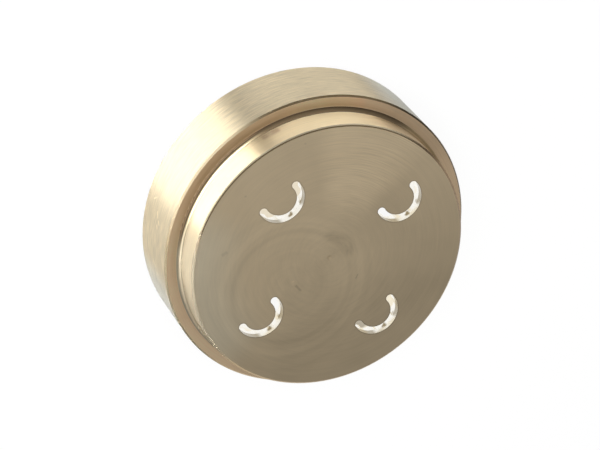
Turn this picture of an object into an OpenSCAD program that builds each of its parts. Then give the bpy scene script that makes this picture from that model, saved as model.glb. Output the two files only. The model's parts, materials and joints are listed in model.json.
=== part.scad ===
// Pasta extrusion die, turned from one piece of brass.
// A stepped disc stands on its back face: a wide body, a flat shoulder and a neck with the working face on top.
// The back is hollowed to a dough chamber, and four C-shaped slots pass through the plate that is left in front.

/* [Body] */
// Diameter of the body
body_d = 56; // [50:0.5:66]
// Height of the body, from the back face to the shoulder
body_h = 12.5; // [6:0.5:24]
// Chamfer round the back face
back_chamfer = 0.2; // [0.1:0.05:0.6]

/* [Neck] */
// Width of the flat shoulder beside the neck
shoulder_w = 2.8; // [2:0.1:5]
// Height of the neck, from the shoulder to the working face
neck_h = 6; // [3:0.5:12]
// Fillet where the neck meets the shoulder
root_fillet = 0.85; // [0.3:0.05:1.2]
// Chamfer round the shoulder's outer edge
shoulder_chamfer = 0.3; // [0.1:0.05:0.6]
// Chamfer round the working face
face_chamfer = 0.35; // [0.1:0.05:0.8]
// Diameter of the mark that the lathe leaves in the middle of the working face
pip_d = 0.8; // [0.4:0.1:1.6]
// Depth of that mark
pip_depth = 0.04; // [0.02:0.02:0.3]

/* [Dough chamber] */
// Thickness of the neck's wall round the chamber
neck_wall = 2.2; // [2:0.1:4]
// Thickness of the plate between the chamber and the working face
plate_t = 3; // [2.4:0.1:6]
// Fillet round the chamber's floor
floor_fillet = 0.8; // [0.3:0.1:1]
// Chamfer round the chamber's mouth
mouth_chamfer = 0.5; // [0.2:0.1:1]

/* [Slots] */
// Width of a slot
slot_w = 1.4; // [0.8:0.1:1.8]
// Radius of a slot's middle line
slot_r = 3.6; // [3:0.1:4.5]
// Angle from a slot's middle to the centre of either round end
slot_half_angle = 96.5; // [70:0.5:110]
// Direction that the round back of each slot faces
slot_aim = -45; // [-180:5:180]
// Depth of the lip, where a slot is at its full narrowness
lip_h = 1.2; // [0.6:0.1:2]

/* [Feed holes] */
// Diameter of the holes that feed a slot from the chamber
feed_d = 2.3; // [2:0.1:3]
// Number of feed holes along a slot
feed_count = 6; // [5:1:8]
// Land between the feed holes and the chamber's wall
feed_land = 2.59; // [1.2:0.01:5]

/* [Hidden] */
$fn = 96;

// Length by which cutters run past the faces that they open
overrun = 0.5;

body_r = body_d / 2;
neck_r = body_r - shoulder_w;
total_h = body_h + neck_h;
chamber_r = neck_r - neck_wall;
chamber_h = total_h - plate_t;

// The slots sit at the corners of a square, as far out as the chamber and the land allow.
slot_count = 4;
slot_step = 360 / slot_count;
slot_circle_r = chamber_r - feed_land - slot_r - feed_d / 2;
feed_step = 2 * slot_half_angle / feed_count;

// The corner at the origin, filled out to an arc that is tangent to both axes
module fillet_corner(r) {
    difference() {
        translate([-overrun, -overrun]) square(r + overrun);
        translate([r, r]) circle(r);
    }
}

// A square on its point, which takes a 45 degree chamfer off the corner at the origin
module chamfer_corner(leg) {
    rotate(45) square(leg * sqrt(2), center = true);
}

// Half section of the solid disc: body, neck and the fillet between them
module disc_profile() {
    difference() {
        union() {
            square([body_r, body_h]);
            square([neck_r, total_h]);
            translate([neck_r, body_h]) fillet_corner(root_fillet);
        }
        translate([body_r, 0]) chamfer_corner(back_chamfer);
        translate([body_r, body_h]) chamfer_corner(shoulder_chamfer);
        translate([neck_r, total_h]) chamfer_corner(face_chamfer);
    }
}

// Half section of the dough chamber
module chamber_profile() {
    difference() {
        translate([0, -overrun]) square([chamber_r, chamber_h + overrun]);
        translate([chamber_r, chamber_h]) rotate(180) fillet_corner(floor_fillet);
    }
    intersection() {
        translate([chamber_r, 0]) chamfer_corner(mouth_chamfer);
        translate([0, -overrun]) square([body_r, body_h]);
    }
}

// One C-shaped slot through the plate, about its own centre, with its round back towards +X
module slot_cut() {
    depth = plate_t + 2 * overrun;
    translate([0, 0, chamber_h - overrun]) {
        rotate(-slot_half_angle)
            rotate_extrude(angle = 2 * slot_half_angle)
                translate([slot_r - slot_w / 2, 0]) square([slot_w, depth]);
        for (side = [-1, 1])
            rotate(side * slot_half_angle)
                translate([slot_r, 0, 0]) cylinder(d = slot_w, h = depth);
    }
}

// The row of feed holes behind one slot, from the chamber up to the lip
module feed_cut() {
    for (i = [0 : feed_count - 1])
        rotate((i + 0.5) * feed_step - slot_half_angle)
            translate([slot_r, 0, chamber_h - overrun])
                cylinder(d = feed_d, h = plate_t - lip_h + overrun);
}

// The cone that a lathe tool leaves at the centre of the working face
module pip_cut() {
    slope = pip_d / 2 / pip_depth;
    translate([0, 0, total_h - pip_depth])
        cylinder(r1 = 0, r2 = pip_d / 2 + overrun * slope, h = pip_depth + overrun);
}

module die_body() {
    color([0.79, 0.7, 0.51])
    difference() {
        rotate_extrude()
            difference() {
                disc_profile();
                chamber_profile();
            }
        for (i = [0 : slot_count - 1])
            rotate((i + 0.5) * slot_step)
                translate([slot_circle_r, 0, 0])
                    rotate(slot_aim - (i + 0.5) * slot_step) {
                        slot_cut();
                        feed_cut();
                    }
        pip_cut();
    }
}

die_body();
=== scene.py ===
"""A turned brass pasta die, lying on its back face on a white table, seen from above."""
import json
import math

import bpy
from mathutils import Matrix, Vector


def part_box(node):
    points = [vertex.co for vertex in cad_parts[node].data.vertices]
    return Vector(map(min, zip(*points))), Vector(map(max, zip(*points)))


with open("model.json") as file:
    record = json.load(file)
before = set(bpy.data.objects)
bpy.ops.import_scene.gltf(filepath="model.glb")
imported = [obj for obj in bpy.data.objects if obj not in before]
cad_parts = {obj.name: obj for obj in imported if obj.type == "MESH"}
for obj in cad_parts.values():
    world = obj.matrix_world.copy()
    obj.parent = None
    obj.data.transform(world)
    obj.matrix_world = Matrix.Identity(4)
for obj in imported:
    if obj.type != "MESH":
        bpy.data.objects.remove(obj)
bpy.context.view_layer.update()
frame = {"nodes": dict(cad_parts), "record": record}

# Sizes of the die, in millimetres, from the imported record
MM = 0.001
MOUNTS = {mount["name"]: mount for mount in frame["record"]["mounts"]}
BODY_R = MOUNTS["body_rim"]["dims"]["r_mm"]
NECK_R = MOUNTS["neck"]["dims"]["r_mm"]
CHAMBER_R = MOUNTS["dough_chamber"]["dims"]["r_mm"]
SHOULDER_Z = MOUNTS["shoulder"]["pos_m"][2] / MM
FACE_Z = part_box("die_body")[1].z / MM

# Sizes that the record doesn't give, in millimetres: the plate in front of the chamber, the slots' lip,
# the fillet at the neck's root, the chamfer of the chamber's mouth and the mark in the middle of the face
PLATE = 3
LIP = 1.2
ROOT_FILLET = 0.85
MOUTH_CHAMFER = 0.5
PIP_R = 0.4

# Slots, in millimetres: their centres along X and Y, and the middle radius and width of the C
SLOT_OFFSET = 11.07
SLOT_R = 3.6
SLOT_W = 1.4

# The way that the slots' backs face, and the angle from there to the centre of either round end, in degrees
SLOT_AIM = -45
SLOT_HALF_ANGLE = 96.5

# Slack when a polygon is matched to a surface: a distance in millimetres, and the cosines of a small tilt and
# of a large one
CLOSE = 0.05
SQUARE_ON = 0.99
LEANING = 0.5

# Camera: it looks down on the working face, turned so that the die's sides show at the upper left
VIEW_AZIMUTH = math.radians(224.37)
VIEW_ELEVATION = math.radians(55.13)
VIEW_ROLL = math.radians(140.63)
VIEW_AIM = Vector((-6.7, 6.34, FACE_Z)) * MM
VIEW_DISTANCE = 421.3 * MM
VIEW_LENS = 147.74
VIEW_CLIP = 10 * MM

# Direction of the light side, in degrees anticlockwise from +X
LIGHT_SIDE = 140

# Grey of the room that the metal mirrors, low down and overhead, and the sines of the elevations between
# which it changes
ROOM_LOW = 0.16
ROOM_HIGH = 0.8
ROOM_CHANGE = (0.7, 0.95)

# Table: the length of its sides in metres, its depth below the die in millimetres, and its cloth
TABLE_SIDE = 4
TABLE_DROP = 0.1
CLOTH = (0.9, 0.9, 0.9, 1)

# Share of the table's glow that the camera sees
TABLE_SEEN = 0.9

# Share of it that the metal mirrors on the far side of the die and on the light side, and the part of that
# share which is left far from the die
TABLE_FAR_SIDE = 1.0
TABLE_LIGHT_SIDE = 0.45
TABLE_AWAY = 0.5

# Distances on the table, in millimetres, between which the mirrored share changes: towards the light side,
# and away from the axis
TABLE_TURN = (2, 20)
TABLE_FADE = (38, 64)

# Colours of the table's glow: in the open, and in the warm light inside the chamber
WHITE = (1, 1, 1, 1)
CREAM = (0.85, 0.76, 0.6, 1)

# Place of the warm light on the table, and the distances from it between which it ends, in millimetres
WARM_PLACE = (-2, 2, 0)
WARM_END = (4, 6)

# Low strips that end below the working face, and one dim panel, all at the same distance in metres: name,
# direction, width, height and radiance
PANEL_DISTANCE = 0.6
PANELS = (
    ("bright_strip", 157.5, 0.66, 0.018, 175),
    ("side_strip", 204, 0.5, 0.018, 33),
    ("right_strip", 81, 0.84, 0.018, 47),
    ("left_panel", 224, 0.78, 0.45, 0.88),
)

# Softbox over the light side: elevation in degrees, distance and side in metres, and radiance
SOFTBOX_ELEVATION = 62
SOFTBOX_DISTANCE = 0.8
SOFTBOX_SIDE = 0.5
SOFTBOX_RADIANCE = 8

# Brass, as the share of red, green and blue light that it reflects: clean, dulled on the face, greyer and
# paler as painted light on the left side, on the neck, pale on the rim and as painted light elsewhere, a
# painted grazing sheen, redder and orange as a painted reflection of the neck on the shoulder, whitened as
# painted light in the slots, in the chamber, darker as painted shade at the neck's far end, brown that is
# partly painted shade, and dark as painted shade in the root and on the chamfers
BRASS = (0.86, 0.71, 0.47, 1)
DULL_BRASS = (0.762, 0.616, 0.408, 1)
GREY_BRASS = (0.82, 0.71, 0.51, 1)
NECK_BRASS = (0.8, 0.66, 0.43, 1)
PALE_BRASS = (0.67, 0.577, 0.41, 1)
GRAZING_SHEEN = (0.9, 0.87, 0.76, 1)
RED_BRASS = (0.92, 0.69, 0.45, 1)
ORANGE_BRASS = (0.98, 0.65, 0.4, 1)
WHITENED_BRASS = (0.98, 0.955, 0.89, 1)
CHAMBER_BRASS = (0.95, 0.87, 0.7, 1)
END_BRASS = (0.78, 0.59, 0.36, 1)
BROWN_BRASS = (0.68, 0.5, 0.28, 1)
SHADE_BRASS = (0.36, 0.3, 0.19, 1)

# Darker and paler colours: deep painted shade, a smudge that also serves as painted shade, a dark colour for
# marks on the slots' walls, and a pale tan for the slots' arms and a patch in the chamber
DEEP_SHADE = (0.19, 0.14, 0.085, 1)
SMUDGE_AND_SHADE = (0.5, 0.34, 0.2, 1)
DARK_SLOT_MARK = (0.24, 0.17, 0.06, 1)
PALE_TAN = (0.47, 0.42, 0.33, 1)

# Painted light and shade on the sides of a surface: direction, half angle and softness in degrees, and change
# of shade
NECK_TONES = (
    (98, 20, 12, 0.07),
    (180, 14, 12, 0.1),
    (199, 10, 12, -0.07),
    (73, 8, 12, -0.07),
    (120, 8, 12, 0.06),
)
SHOULDER_TONES = (
    (130, 40, 12, 0.07),
    (60, 18, 12, -0.17),
    (135, 5, 5, -0.08),
    (207, 35, 12, 0.1),
    (90, 12, 12, 0.11),
)
RIM_TONES = (
    (119, 9, 9, 0.09),
    (60, 8, 8, 0.1),
)

# Colours painted on the sides of a surface as light, shade and sheen: direction, half angle and softness in
# degrees, and colour
NECK_LIGHT_AND_SHADE = (
    (195, 22, 12, GREY_BRASS),
    (55, 22, 12, END_BRASS),
    (231, 12, 8, BROWN_BRASS),
)
RIM_SHEEN = (
    (55, 11, 12, GRAZING_SHEEN),
    (215, 11, 12, GRAZING_SHEEN),
)
ROOT_LIGHT_AND_SHADE = (
    (211, 34, 8, PALE_BRASS),
    (36, 22, 8, BROWN_BRASS),
)

# Swirl on the working face: its centre, the distances from there between which it ends, and its rings, each
# with a radius, a width and a change of shade
SWIRL_CENTRE = (-6.1, -5.6)
SWIRL_END = (15, 20)
SWIRL_RINGS = (
    (11, 0.7, -0.05),
    (13, 0.9, 0.05),
)

# Marks on the working face: place along X and Y, heading, length, width and change of shade
FACE_MARKS = (
    (-4.8, -5.9, -41, 2.0, 0.36, -0.2),
    (-6.0, -4.6, 20, 0.6, 0.2, 0.12),
    (6.0, -3.8, 75, 1.2, 0.2, -0.18),
    (-17.7, 11.8, 0, 0.5, 0.25, -0.14),
    (-8.5, 21.6, 0, 0.5, 0.25, -0.12),
    (-19.7, 1.0, 40, 1.4, 0.5, -0.12),
)

# Side on which the working face is painted darker as shade, in degrees, and width of the dark border of a
# slot in it
SHADED_SIDE = 308
SLOT_BORDER = 0.3

# Depths below the face, in millimetres, between which the painted pale foot of its chamfer ends
PALE_FOOT = (0.22, 0.14)

# Smudge on the neck: direction in degrees, and height above the shoulder in millimetres
SMUDGE_SIDE = 121.5
SMUDGE_RISE = 1.5

# Slanted scratches on the body's rim, all of one width: azimuth, height, slope, length and change of shade
SCRATCH_W = 0.2
RIM_SCRATCHES = (
    (175, 6.2, 40, 1.7, 0.4),
    (177, 7.4, 48, 1.2, 0.35),
    (179, 6.9, 42, 1.0, 0.3),
    (171, 3.4, -55, 1.6, 0.3),
    (194, 6.6, 46, 1.8, 0.3),
    (197, 7.6, 52, 1.1, 0.25),
)

# Dark ticks on a slot's outer wall: angle from the slot's back, half width and strength
SLOT_TICKS = (
    (-5, 9, 0.9),
    (32, 6, 0.5),
)

# Patch of residue on the chamber's wall: direction in degrees, and height in millimetres
PATCH_SIDE = -55.5
PATCH_Z = 8.6


def direction(azimuth, elevation=0):
    """Unit vector towards a place seen from the die; azimuth runs anticlockwise from +X, in degrees."""
    a, e = math.radians(azimuth), math.radians(elevation)
    return Vector((math.cos(a) * math.cos(e), math.sin(a) * math.cos(e), math.sin(e)))


def on_wall(azimuth, radius, height):
    """Point on an upright wall round the axis, in millimetres."""
    return direction(azimuth) * radius + Vector((0, 0, height))


def make_camera():
    """The camera at the photograph's viewing angle."""
    back = Vector((
        math.sin(VIEW_AZIMUTH) * math.cos(VIEW_ELEVATION),
        -math.cos(VIEW_AZIMUTH) * math.cos(VIEW_ELEVATION),
        math.sin(VIEW_ELEVATION),
    ))
    level_right = Vector((math.cos(VIEW_AZIMUTH), math.sin(VIEW_AZIMUTH), 0))
    level_up = back.cross(level_right)
    right = level_right * math.cos(VIEW_ROLL) + level_up * math.sin(VIEW_ROLL)
    up = back.cross(right)
    turn = Matrix((right, up, back)).transposed().to_4x4()
    camera = bpy.data.objects.new("camera", bpy.data.cameras.new("camera"))
    bpy.context.scene.collection.objects.link(camera)
    camera.matrix_world = Matrix.Translation(VIEW_AIM + back * VIEW_DISTANCE) @ turn
    camera.data.lens = VIEW_LENS
    camera.data.clip_start = VIEW_CLIP
    bpy.context.scene.camera = camera


class Tree:
    """A short way to write the nodes of a material or of the world."""

    def __init__(self, owner):
        owner.use_nodes = True
        self.nodes = owner.node_tree.nodes
        self.links = owner.node_tree.links
        self.nodes.clear()

    def add(self, kind, settings=None, **inputs):
        """A node with its settings and with values or links on its inputs."""
        node = self.nodes.new("ShaderNode" + kind)
        for key, value in (settings or {}).items():
            setattr(node, key, value)
        for key, value in inputs.items():
            self.put(node.inputs[key.replace("_", " ")], value)
        return node

    def put(self, socket, value):
        """A value on a socket, or a link to it."""
        if isinstance(value, bpy.types.NodeSocket):
            self.links.new(value, socket)
        else:
            socket.default_value = value

    def fill(self, node, values):
        """Values or links on a node's inputs in their order, and the node's result."""
        sockets = [socket for socket in node.inputs if socket.enabled]
        for socket, value in zip(sockets, values):
            self.put(socket, value)
        return next(socket for socket in node.outputs if socket.enabled)

    def math(self, operation, *values):
        """A Math node's result."""
        return self.fill(self.add("Math", {"operation": operation}), values)

    def vector(self, operation, *values):
        """A Vector Math node's result."""
        return self.fill(self.add("VectorMath", {"operation": operation}), values)

    def span(self, value, low, high, to_low=0.0, to_high=1.0):
        """The value, carried smoothly and clamped from one span to another."""
        node = self.add("MapRange", {"interpolation_type": "SMOOTHSTEP"})
        return self.fill(node, (value, low, high, to_low, to_high))

    def fade(self, value, near, far):
        """1 up to the near value, then smoothly down to 0 at the far one."""
        return self.span(value, near, far, 1, 0)

    def mix(self, factor, first, second):
        """A colour between two colours."""
        return self.fill(self.add("Mix", {"data_type": "RGBA"}), (factor, first, second))

    def noise(self, vector, detail=2.0):
        """Even noise about zero, with one grain to a unit of the vector."""
        node = self.add("TexNoise", Vector=vector, Scale=1.0, Detail=detail)
        return self.math("SUBTRACT", node.outputs["Fac"], 0.5)

    def finish(self, shader, kind="Material"):
        """Links a shader to the output."""
        output = self.nodes.new("ShaderNodeOutput" + kind)
        self.links.new(shader, output.inputs["Surface"])


class Metal:
    """Brass whose colour, roughness and grain follow the place on the die, in millimetres."""

    def __init__(self, name, colour, roughness, anisotropy):
        self.material = bpy.data.materials.new(name)
        self.tree = Tree(self.material)
        self.colour, self.shade = colour, 1.0
        self.roughness, self.anisotropy = roughness, anisotropy
        at = self.tree.add("TexCoord").outputs["Object"]
        self.place = self.tree.vector("MULTIPLY", at, (1 / MM, 1 / MM, 1 / MM))
        self.x, self.y, self.z = self.tree.add("SeparateXYZ", Vector=self.place).outputs
        self.radius, self.outward = self.polar(0, 0)

    def polar(self, x, y):
        """Distance from an upright line, and the level unit vector away from it."""
        offset = self.tree.vector("SUBTRACT", self.place, (x, y, 0))
        level = self.tree.vector("MULTIPLY", offset, (1, 1, 0))
        return self.tree.vector("LENGTH", level), self.tree.vector("NORMALIZE", level)

    def grooves(self, outward, across, turns, fineness, detail=2.0):
        """Streaks round an upright line: longer for fewer turns, and finer across for more fineness."""
        along = self.tree.vector("MULTIPLY", outward, (turns, turns, 0))
        step = self.tree.add("CombineXYZ", Z=self.tree.math("MULTIPLY", across, fineness))
        return self.tree.noise(self.tree.vector("ADD", along, step.outputs["Vector"]), detail)

    def blotches(self, size):
        """Soft patches of about the given size."""
        return self.tree.noise(self.tree.vector("MULTIPLY", self.place, (1 / size,) * 3))

    def streak(self, centre, heading, length, width):
        """1 along a straight mark, 0 beside it, with soft ends and borders."""
        offset = self.tree.vector("SUBTRACT", self.place, centre)
        along = self.tree.vector("DOT_PRODUCT", offset, heading)
        beside = self.tree.vector("LENGTH", self.tree.vector("CROSS_PRODUCT", offset, heading))
        inside = self.tree.fade(self.tree.math("ABSOLUTE", along), length * 0.3, length * 0.5)
        return self.both(inside, self.tree.fade(beside, width * 0.2, width))

    def ring(self, distance, radius, width):
        """1 on a ring, 0 beside it, with soft borders."""
        beside = self.tree.math("ABSOLUTE", self.tree.math("SUBTRACT", distance, radius))
        return self.tree.fade(beside, width * 0.2, width)

    def sector(self, azimuth, half_angle, soft=12):
        """1 in a sector round the die's axis, 0 outside it; all angles in degrees."""
        facing = self.tree.vector("DOT_PRODUCT", self.outward, direction(azimuth))
        outer, inner = (math.cos(math.radians(half_angle + change)) for change in (soft, -soft))
        return self.tree.span(facing, outer, inner)

    def slot_polar(self):
        """Distance from the nearest slot's centre, and the angle there from the slot's back, in radians."""
        tree = self.tree
        x, y = (
            tree.math("SUBTRACT", value, tree.math("MULTIPLY", tree.math("SIGN", value), SLOT_OFFSET))
            for value in (self.x, self.y)
        )
        angle = tree.math("SUBTRACT", tree.math("ARCTAN2", y, x), math.radians(SLOT_AIM))
        return tree.vector("LENGTH", tree.add("CombineXYZ", X=x, Y=y).outputs["Vector"]), angle

    def from_slot(self):
        """Distance from the nearest slot's middle line."""
        tree = self.tree
        distance, angle = self.slot_polar()
        past_end = tree.math("SUBTRACT", tree.math("ABSOLUTE", angle), math.radians(SLOT_HALF_ANGLE))
        cosine = tree.math("COSINE", tree.math("MAXIMUM", past_end, 0.0))
        along = tree.math("MULTIPLY", distance, cosine)
        rest = tree.math("MULTIPLY_ADD", along, -2 * SLOT_R, SLOT_R ** 2)
        return tree.math("SQRT", tree.math("MULTIPLY_ADD", distance, distance, rest))

    def both(self, first, second):
        """Where two masks overlap."""
        return self.tree.math("MULTIPLY", first, second)

    def either(self, first, second):
        """Where one of two masks lies, or both."""
        return self.tree.math("MAXIMUM", first, second)

    def outside(self, mask):
        """Where a mask doesn't lie."""
        return self.tree.math("SUBTRACT", 1.0, mask)

    def vary(self, share, value):
        """Lightens the metal by a share of a value."""
        self.shade = self.tree.math("MULTIPLY_ADD", value, share, self.shade)

    def roughen(self, share, value):
        """Roughens the metal by a share of a value."""
        self.roughness = self.tree.math("MULTIPLY_ADD", value, share, self.roughness)

    def lay_colour(self, mask, colour):
        """Another colour where the mask is 1."""
        self.colour = self.tree.mix(mask, self.colour, colour)

    def vary_sides(self, tones):
        """Paints light and shade on some sides of the die."""
        for azimuth, half_angle, soft, change in tones:
            self.vary(change, self.sector(azimuth, half_angle, soft))

    def paint_sides(self, stains):
        """Colours painted on some sides of the die as light, shade and sheen."""
        for azimuth, half_angle, soft, colour in stains:
            self.lay_colour(self.sector(azimuth, half_angle, soft), colour)

    def finish(self, relief, depth):
        """The material, with a relief that is as deep as given, in millimetres."""
        tree = self.tree
        bump = tree.add("Bump", Height=relief, Distance=depth * MM)
        tangent = tree.add("Tangent", {"direction_type": "RADIAL", "axis": "Z"})
        shade = tree.add("CombineXYZ", X=self.shade, Y=self.shade, Z=self.shade)
        plain = isinstance(self.colour, tuple)
        colour = tree.vector("MULTIPLY", self.colour[:3] if plain else self.colour, shade.outputs["Vector"])
        shader = tree.add("BsdfPrincipled", Base_Color=colour, Metallic=1.0, Roughness=self.roughness,
                          Anisotropic=self.anisotropy, Anisotropic_Rotation=0.25,
                          Tangent=tangent.outputs["Tangent"], Normal=bump.outputs["Normal"])
        tree.finish(shader.outputs["BSDF"])
        return self.material


def face_finish():
    """The working face: turning marks, an off-centre swirl, a smear, a painted highlight with fine streaks,
    painted shade on one side, painted light near the edge and a few marks.
    """
    metal = Metal("face", DULL_BRASS, roughness=0.36, anisotropy=0.3)
    tree = metal.tree
    turning = metal.grooves(metal.outward, metal.radius, turns=2, fineness=1.8)
    fine = metal.grooves(metal.outward, metal.radius, turns=3, fineness=7)
    metal.vary(0.12, turning)
    metal.vary(0.1, fine)
    metal.vary(0.15, metal.blotches(size=7))
    metal.roughen(0.12, turning)
    metal.roughen(0.2, metal.blotches(size=12))

    swirl_r, swirl_out = metal.polar(*SWIRL_CENTRE)
    swirl = metal.grooves(swirl_out, swirl_r, turns=0.8, fineness=0.8)
    metal.vary(0.16, metal.both(swirl, tree.fade(swirl_r, *SWIRL_END)))
    for radius, width, change in SWIRL_RINGS:
        metal.vary(change, metal.ring(swirl_r, radius, width))

    smear_ring = metal.ring(metal.radius, radius=4.1, width=1.6)
    smear = metal.both(smear_ring, metal.sector(azimuth=60, half_angle=50))
    metal.vary(-0.1, smear)
    metal.vary(0.25, metal.both(smear, turning))

    # Painted highlight with fine streaks, where the turned face shows its bright fan
    painted_highlight = metal.both(metal.sector(azimuth=80, half_angle=18), tree.span(metal.radius, low=5, high=15))
    metal.vary(0.21, painted_highlight)
    metal.vary(0.5, metal.both(painted_highlight, fine))
    # Painted shade: darker towards the shaded side
    towards_shaded = tree.vector("DOT_PRODUCT", metal.place, direction(SHADED_SIDE))
    metal.vary(-0.2, tree.span(towards_shaded, low=-2, high=18))
    # Painted light near the edge: paler grey on the left, lighter round 25°
    edge = tree.span(metal.radius, low=14, high=24)
    metal.lay_colour(metal.both(edge, metal.sector(azimuth=198, half_angle=32)), GREY_BRASS)
    metal.vary(0.07, metal.both(edge, metal.sector(azimuth=25, half_angle=30)))
    metal.roughen(0.2, tree.fade(metal.radius, near=PIP_R, far=PIP_R + 0.1))

    metal.vary(-0.28, tree.fade(metal.from_slot(), near=SLOT_W / 2, far=SLOT_W / 2 + SLOT_BORDER))
    for x, y, heading, length, width, change in FACE_MARKS:
        metal.vary(change, metal.streak((x, y, FACE_Z), direction(heading), length, width))
    return metal.finish(fine, depth=0.004)


def neck_finish():
    """The neck: fine turning marks, painted light and shade on its sides and a smudge low on the light side.
    """
    metal = Metal("neck", NECK_BRASS, roughness=0.414, anisotropy=0.98)
    turning = metal.grooves(metal.outward, metal.z, turns=4, fineness=3.5)
    metal.vary(0.25, turning)
    metal.vary(0.2, metal.blotches(size=6))
    metal.roughen(0.15, turning)
    # Painted light and shade on the neck's sides, set by direction
    metal.vary_sides(NECK_TONES)
    metal.paint_sides(NECK_LIGHT_AND_SHADE)
    smudge = on_wall(SMUDGE_SIDE, NECK_R, SHOULDER_Z + SMUDGE_RISE)
    patch = metal.streak(smudge, direction(SMUDGE_SIDE - 90), length=4.2, width=1.3)
    uneven = metal.tree.span(metal.blotches(size=1.4), low=-0.5, high=0.6)
    metal.lay_colour(metal.both(patch, uneven), SMUDGE_AND_SHADE)
    return metal.finish(turning, depth=0.004)


def shoulder_finish():
    """The shoulder: redder brass as a painted reflection of the neck, with soft patches, turning marks and
    painted light and shade on its sides.
    """
    metal = Metal("shoulder", RED_BRASS, roughness=0.36, anisotropy=0.5)
    turning = metal.grooves(metal.outward, metal.radius, turns=3, fineness=4)
    metal.vary(0.25, turning)
    metal.vary(0.2, metal.blotches(size=5))
    # Painted light and shade by side, and orange as a painted reflection of the neck round 91°
    metal.vary_sides(SHOULDER_TONES)
    metal.lay_colour(metal.sector(azimuth=91, half_angle=6, soft=6), ORANGE_BRASS)
    metal.roughen(0.15, turning)
    return metal.finish(turning, depth=0.003)


def rim_finish():
    """The body's rim: brushed round the axis, with painted light on two sides, a painted sheen near both ends
    and slanted scratches from handling.
    """
    metal = Metal("rim", PALE_BRASS, roughness=0.56, anisotropy=0.98)
    brushed = metal.grooves(metal.outward, metal.z, turns=10, fineness=9, detail=3.0)
    metal.vary(1.0, brushed)
    metal.vary(0.25, metal.grooves(metal.outward, metal.z, turns=7, fineness=1.5))
    metal.vary(0.15, metal.blotches(size=8))
    # Painted light round 119° and 60°, and a painted grazing sheen near 55° and 215°
    metal.vary_sides(RIM_TONES)
    metal.paint_sides(RIM_SHEEN)
    metal.roughen(0.2, brushed)
    for azimuth, height, slope, length, change in RIM_SCRATCHES:
        centre = on_wall(azimuth, BODY_R, height)
        heading = direction(azimuth + 90, slope)
        metal.vary(change, metal.streak(centre, heading, length, SCRATCH_W))
    return metal.finish(brushed, depth=0.006)


def root_finish():
    """The fillet at the neck's root: dark as painted shade in the corner, darkest and rougher where that
    shade is deepest, with a painted highlight above on the light side, painted paler at one end and browner
    at the other.
    """
    metal = Metal("root", SHADE_BRASS, roughness=0.42, anisotropy=0.0)
    tree = metal.tree
    grain = metal.grooves(metal.outward, metal.z, turns=4, fineness=5)
    rise = tree.math("DIVIDE", tree.math("SUBTRACT", metal.z, SHOULDER_Z), ROOT_FILLET)
    upper = tree.span(rise, low=0.35, high=0.6)
    foot = tree.fade(rise, near=0.08, far=0.14)
    line = metal.both(metal.outside(foot), tree.fade(rise, near=0.2, far=0.3))

    # Painted highlight on the upper fillet at the light side
    metal.lay_colour(metal.both(upper, metal.sector(azimuth=152, half_angle=16, soft=8)), BRASS)
    # Painted light at one end and painted shade at the other
    metal.paint_sides(ROOT_LIGHT_AND_SHADE)
    # Painted shade round 195°
    metal.vary(-0.25, metal.sector(azimuth=195, half_angle=24))
    light_side = metal.sector(azimuth=147, half_angle=32, soft=6)
    # Painted shade at the foot on the light side
    metal.lay_colour(metal.both(foot, light_side), SMUDGE_AND_SHADE)
    # Deepest painted shade: a line low on the light side and the fillet round 94°, also rougher
    matt_shade = metal.either(metal.both(line, light_side), metal.sector(azimuth=94, half_angle=33, soft=6))
    metal.lay_colour(matt_shade, DEEP_SHADE)
    metal.roughen(0.38, matt_shade)
    metal.vary(0.3, grain)
    return metal.finish(grain, depth=0.003)


def edge_finish():
    """The chamfers round the face and the body: brown as painted shade, with painted lighter and darker
    sides, a painted pale foot and rougher parts.
    """
    metal = Metal("edges", BROWN_BRASS, roughness=0.18, anisotropy=0.0)
    tree = metal.tree
    grain = metal.grooves(metal.outward, metal.z, turns=6, fineness=4)
    at_face = tree.math("GREATER_THAN", metal.z, (SHOULDER_Z + FACE_Z) / 2)
    at_body = metal.outside(at_face)

    # Painted light at the left of the face's chamfer and at its foot round 125°: pale brass, rougher
    left = metal.both(at_face, metal.sector(azimuth=200, half_angle=26))
    metal.vary(-0.25, left)
    foot = metal.both(at_face, tree.fade(metal.z, *(FACE_Z - depth for depth in PALE_FOOT)))
    painted_highlight = metal.either(left, metal.both(foot, metal.sector(azimuth=125, half_angle=65)))
    metal.lay_colour(painted_highlight, PALE_BRASS)
    metal.roughen(0.2, painted_highlight)
    # Painted shade on the face's chamfer at the far side
    far = metal.both(at_face, metal.sector(azimuth=25, half_angle=34))
    metal.lay_colour(far, SMUDGE_AND_SHADE)
    metal.vary(-0.3, far)

    # On the body's chamfer: painted highlight round 150°, painted shade round 206° and 38°
    metal.lay_colour(metal.both(at_body, metal.sector(azimuth=150, half_angle=24)), BRASS)
    metal.lay_colour(metal.both(at_body, metal.sector(azimuth=206, half_angle=28)), SHADE_BRASS)
    metal.lay_colour(metal.both(at_body, metal.sector(azimuth=38, half_angle=30)), DEEP_SHADE)
    metal.roughen(0.2, metal.both(at_body, metal.sector(azimuth=178, half_angle=54)))
    metal.vary(0.1, grain)
    return metal.finish(grain, depth=0.0005)


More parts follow.
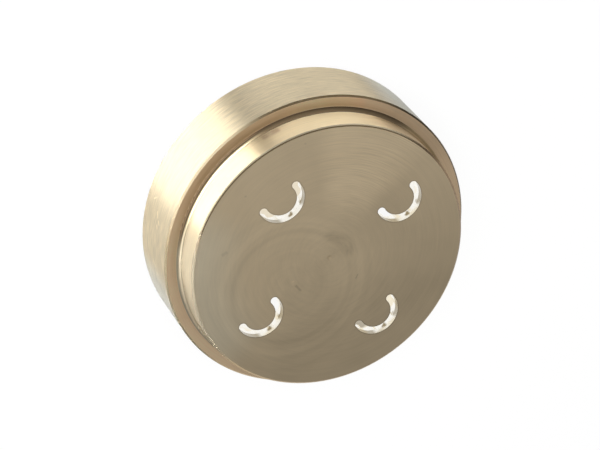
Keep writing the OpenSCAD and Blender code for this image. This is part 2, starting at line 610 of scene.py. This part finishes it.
def slot_finish():
    """The slots and feed holes: whitened brass as painted light, with pale tan arms, dark ticks and a dark
    line on the slots' outer walls.
    """
    metal = Metal("slots", WHITENED_BRASS, roughness=0.22, anisotropy=0.0)
    tree = metal.tree
    distance, angle = metal.slot_polar()
    outer_wall = tree.math("GREATER_THAN", distance, SLOT_R)
    lip = metal.both(outer_wall, tree.math("GREATER_THAN", metal.z, FACE_Z - LIP))
    arms = tree.span(tree.math("ABSOLUTE", angle), low=math.radians(25), high=math.radians(40))
    metal.lay_colour(metal.both(lip, arms), PALE_TAN)

    from_lip_edge = tree.math("ABSOLUTE", tree.math("SUBTRACT", metal.z, FACE_Z - LIP))
    near_edge = metal.both(outer_wall, tree.fade(from_lip_edge, near=0.3, far=0.8))
    ragged = tree.span(metal.blotches(size=0.5), low=-0.3, high=-0.05)
    for place, half_width, strength in SLOT_TICKS:
        beside = tree.math("ABSOLUTE", tree.math("SUBTRACT", angle, math.radians(place)))
        tick = tree.span(beside, math.radians(half_width * 0.3), math.radians(half_width), strength, 0)
        metal.lay_colour(metal.both(near_edge, metal.both(tick, ragged)), DARK_SLOT_MARK)

    line = metal.both(outer_wall, tree.span(from_lip_edge, low=0.12, high=0.28, to_low=0.7, to_high=0))
    one_arm = tree.span(angle, low=math.radians(20), high=math.radians(35))
    left_slots = tree.math("LESS_THAN", metal.x, 0.0)
    metal.lay_colour(metal.both(line, metal.both(one_arm, left_slots)), DARK_SLOT_MARK)
    metal.vary(0.06, metal.blotches(size=0.6))
    return metal.finish(metal.blotches(size=0.25), depth=0.001)


def chamber_finish():
    """The dough chamber: turned, brighter at its mouth, with a patch of residue on its wall."""
    metal = Metal("chamber", CHAMBER_BRASS, roughness=0.3, anisotropy=0.5)
    across = metal.tree.math("ADD", metal.z, metal.radius)
    turning = metal.grooves(metal.outward, across, turns=2, fineness=2)
    metal.vary(0.2, turning)
    metal.roughen(0.2, turning)
    metal.lay_colour(metal.tree.fade(metal.z, near=2, far=4), WHITENED_BRASS)
    upright = direction(0, 90)
    patch = metal.streak(on_wall(PATCH_SIDE, CHAMBER_R, PATCH_Z), upright, length=4.6, width=3.6)
    metal.lay_colour(patch, PALE_TAN)
    return metal.finish(turning, depth=0.004)


def back_finish():
    """The back ring: turned flat."""
    metal = Metal("back", BRASS, roughness=0.34, anisotropy=0.3)
    turning = metal.grooves(metal.outward, metal.radius, turns=3, fineness=4)
    metal.vary(0.3, turning)
    metal.vary(0.25, metal.blotches(size=6))
    metal.roughen(0.2, turning)
    return metal.finish(turning, depth=0.004)


def zone_of(polygon):
    """Name of the turned or cut surface that a polygon of the die lies on."""
    centre, normal = polygon.center / MM, polygon.normal
    radius = math.hypot(centre.x, centre.y)
    outward = (normal.x * centre.x + normal.y * centre.y) / max(radius, MM)
    faces_out, faces_down = outward > LEANING, normal.z < -LEANING
    if normal.z > SQUARE_ON and centre.z > FACE_Z - CLOSE:
        return "face"
    if normal.z > SQUARE_ON and abs(centre.z - SHOULDER_Z) < CLOSE:
        return "shoulder"
    if outward > SQUARE_ON and abs(radius - NECK_R) < CLOSE:
        return "neck"
    if outward > SQUARE_ON and abs(radius - BODY_R) < CLOSE:
        return "rim"
    if 0 < centre.z - SHOULDER_Z < ROOT_FILLET and radius > NECK_R - CLOSE:
        return "root"
    if radius < CHAMBER_R and centre.z > FACE_Z - PLATE + CLOSE:
        return "slots"
    if faces_down and not faces_out and centre.z < MOUTH_CHAMFER:
        return "back"
    if radius > CHAMBER_R + CLOSE:
        return "edges"
    return "chamber"


def dress_die():
    """Gives each surface of the die its own finish."""
    mesh = frame["nodes"]["die_body"].data
    finishes = {
        "face": face_finish(),
        "neck": neck_finish(),
        "shoulder": shoulder_finish(),
        "rim": rim_finish(),
        "root": root_finish(),
        "edges": edge_finish(),
        "slots": slot_finish(),
        "chamber": chamber_finish(),
        "back": back_finish(),
    }
    mesh.materials.clear()
    for material in finishes.values():
        mesh.materials.append(material)
    order = list(finishes)
    for polygon in mesh.polygons:
        polygon.material_index = order.index(zone_of(polygon))


def make_floor():
    """A white table that glows for the camera and the metal, and still takes a little of the die's shadow."""
    bpy.ops.mesh.primitive_plane_add(size=TABLE_SIDE, location=(0, 0, -TABLE_DROP * MM))
    floor = bpy.context.object
    floor.name = "floor"
    material = bpy.data.materials.new("floor")
    tree = Tree(material)
    path = tree.add("LightPath").outputs
    at = tree.add("TexCoord").outputs["Object"]
    place = tree.vector("MULTIPLY", at, (1 / MM, 1 / MM, 1 / MM))
    from_axis = tree.vector("LENGTH", place)
    under_die = tree.math("LESS_THAN", from_axis, CHAMBER_R)
    towards_light = tree.vector("DOT_PRODUCT", place, direction(LIGHT_SIDE))
    side = tree.span(tree.span(towards_light, *TABLE_TURN), 0, 1, TABLE_FAR_SIDE, TABLE_LIGHT_SIDE)
    beside_die = tree.math("MULTIPLY", side, tree.span(from_axis, *TABLE_FADE, 1, TABLE_AWAY))
    mirrored = tree.math("MULTIPLY", path["Is Glossy Ray"], tree.math("MAXIMUM", under_die, beside_die))
    seen = tree.math("MULTIPLY", path["Is Camera Ray"], TABLE_SEEN)
    from_warm = tree.vector("DISTANCE", place, WARM_PLACE)
    colour = tree.mix(tree.span(from_warm, *WARM_END), CREAM, WHITE)
    cloth = tree.add("BsdfDiffuse", Color=CLOTH)
    glow = tree.add("Emission", Color=colour, Strength=1.0)
    mixed = tree.add("MixShader", Fac=tree.math("MAXIMUM", seen, mirrored))
    tree.links.new(cloth.outputs["BSDF"], mixed.inputs[1])
    tree.links.new(glow.outputs["Emission"], mixed.inputs[2])
    tree.finish(mixed.outputs["Shader"])
    floor.data.materials.append(material)
    return floor


def make_room():
    """A grey room, darker low down than overhead, which the camera sees as white."""
    world = bpy.data.worlds.new("room")
    tree = Tree(world)
    path = tree.add("LightPath").outputs
    towards = tree.add("SeparateXYZ", Vector=tree.add("TexCoord").outputs["Generated"])
    grey = tree.span(towards.outputs["Z"], *ROOM_CHANGE, ROOM_LOW, ROOM_HIGH)
    shade = tree.math("MAXIMUM", grey, path["Is Camera Ray"])
    background = tree.add("Background", Color=WHITE, Strength=shade)
    tree.finish(background.outputs["Background"], "World")
    bpy.context.scene.world = world


def area_light(name, place, aim, width, height, radiance):
    """A rectangular soft light that faces a point, as bright as the radiance says; white is 1."""
    light = bpy.data.lights.new(name, "AREA")
    light.shape = "RECTANGLE"
    light.size, light.size_y = width, height
    light.energy = radiance * math.pi * width * height
    light.cycles.max_bounces = 0
    light.cycles.use_multiple_importance_sampling = False
    lamp = bpy.data.objects.new(name, light)
    lamp.location = place
    lamp.rotation_mode = "QUATERNION"
    lamp.rotation_quaternion = (aim - place).to_track_quat("-Z", "Y")
    lamp.visible_camera = False
    bpy.context.scene.collection.objects.link(lamp)
    return lamp


def make_lights(floor):
    """Soft studio light: low strips and a panel round the die, and a softbox that lights the table alone."""
    for name, azimuth, width, height, radiance in PANELS:
        middle = Vector((0, 0, height / 2))
        area_light(name, direction(azimuth) * PANEL_DISTANCE + middle, middle, width, height, radiance)
    above = direction(LIGHT_SIDE, SOFTBOX_ELEVATION) * SOFTBOX_DISTANCE
    softbox = area_light("softbox", above, Vector(), SOFTBOX_SIDE, SOFTBOX_SIDE, SOFTBOX_RADIANCE)
    table = bpy.data.collections.new("table")
    table.objects.link(floor)
    softbox.light_linking.receiver_collection = table


make_camera()
dress_die()
make_room()
make_lights(make_floor())
bpy.context.scene.view_settings.view_transform = "Standard"
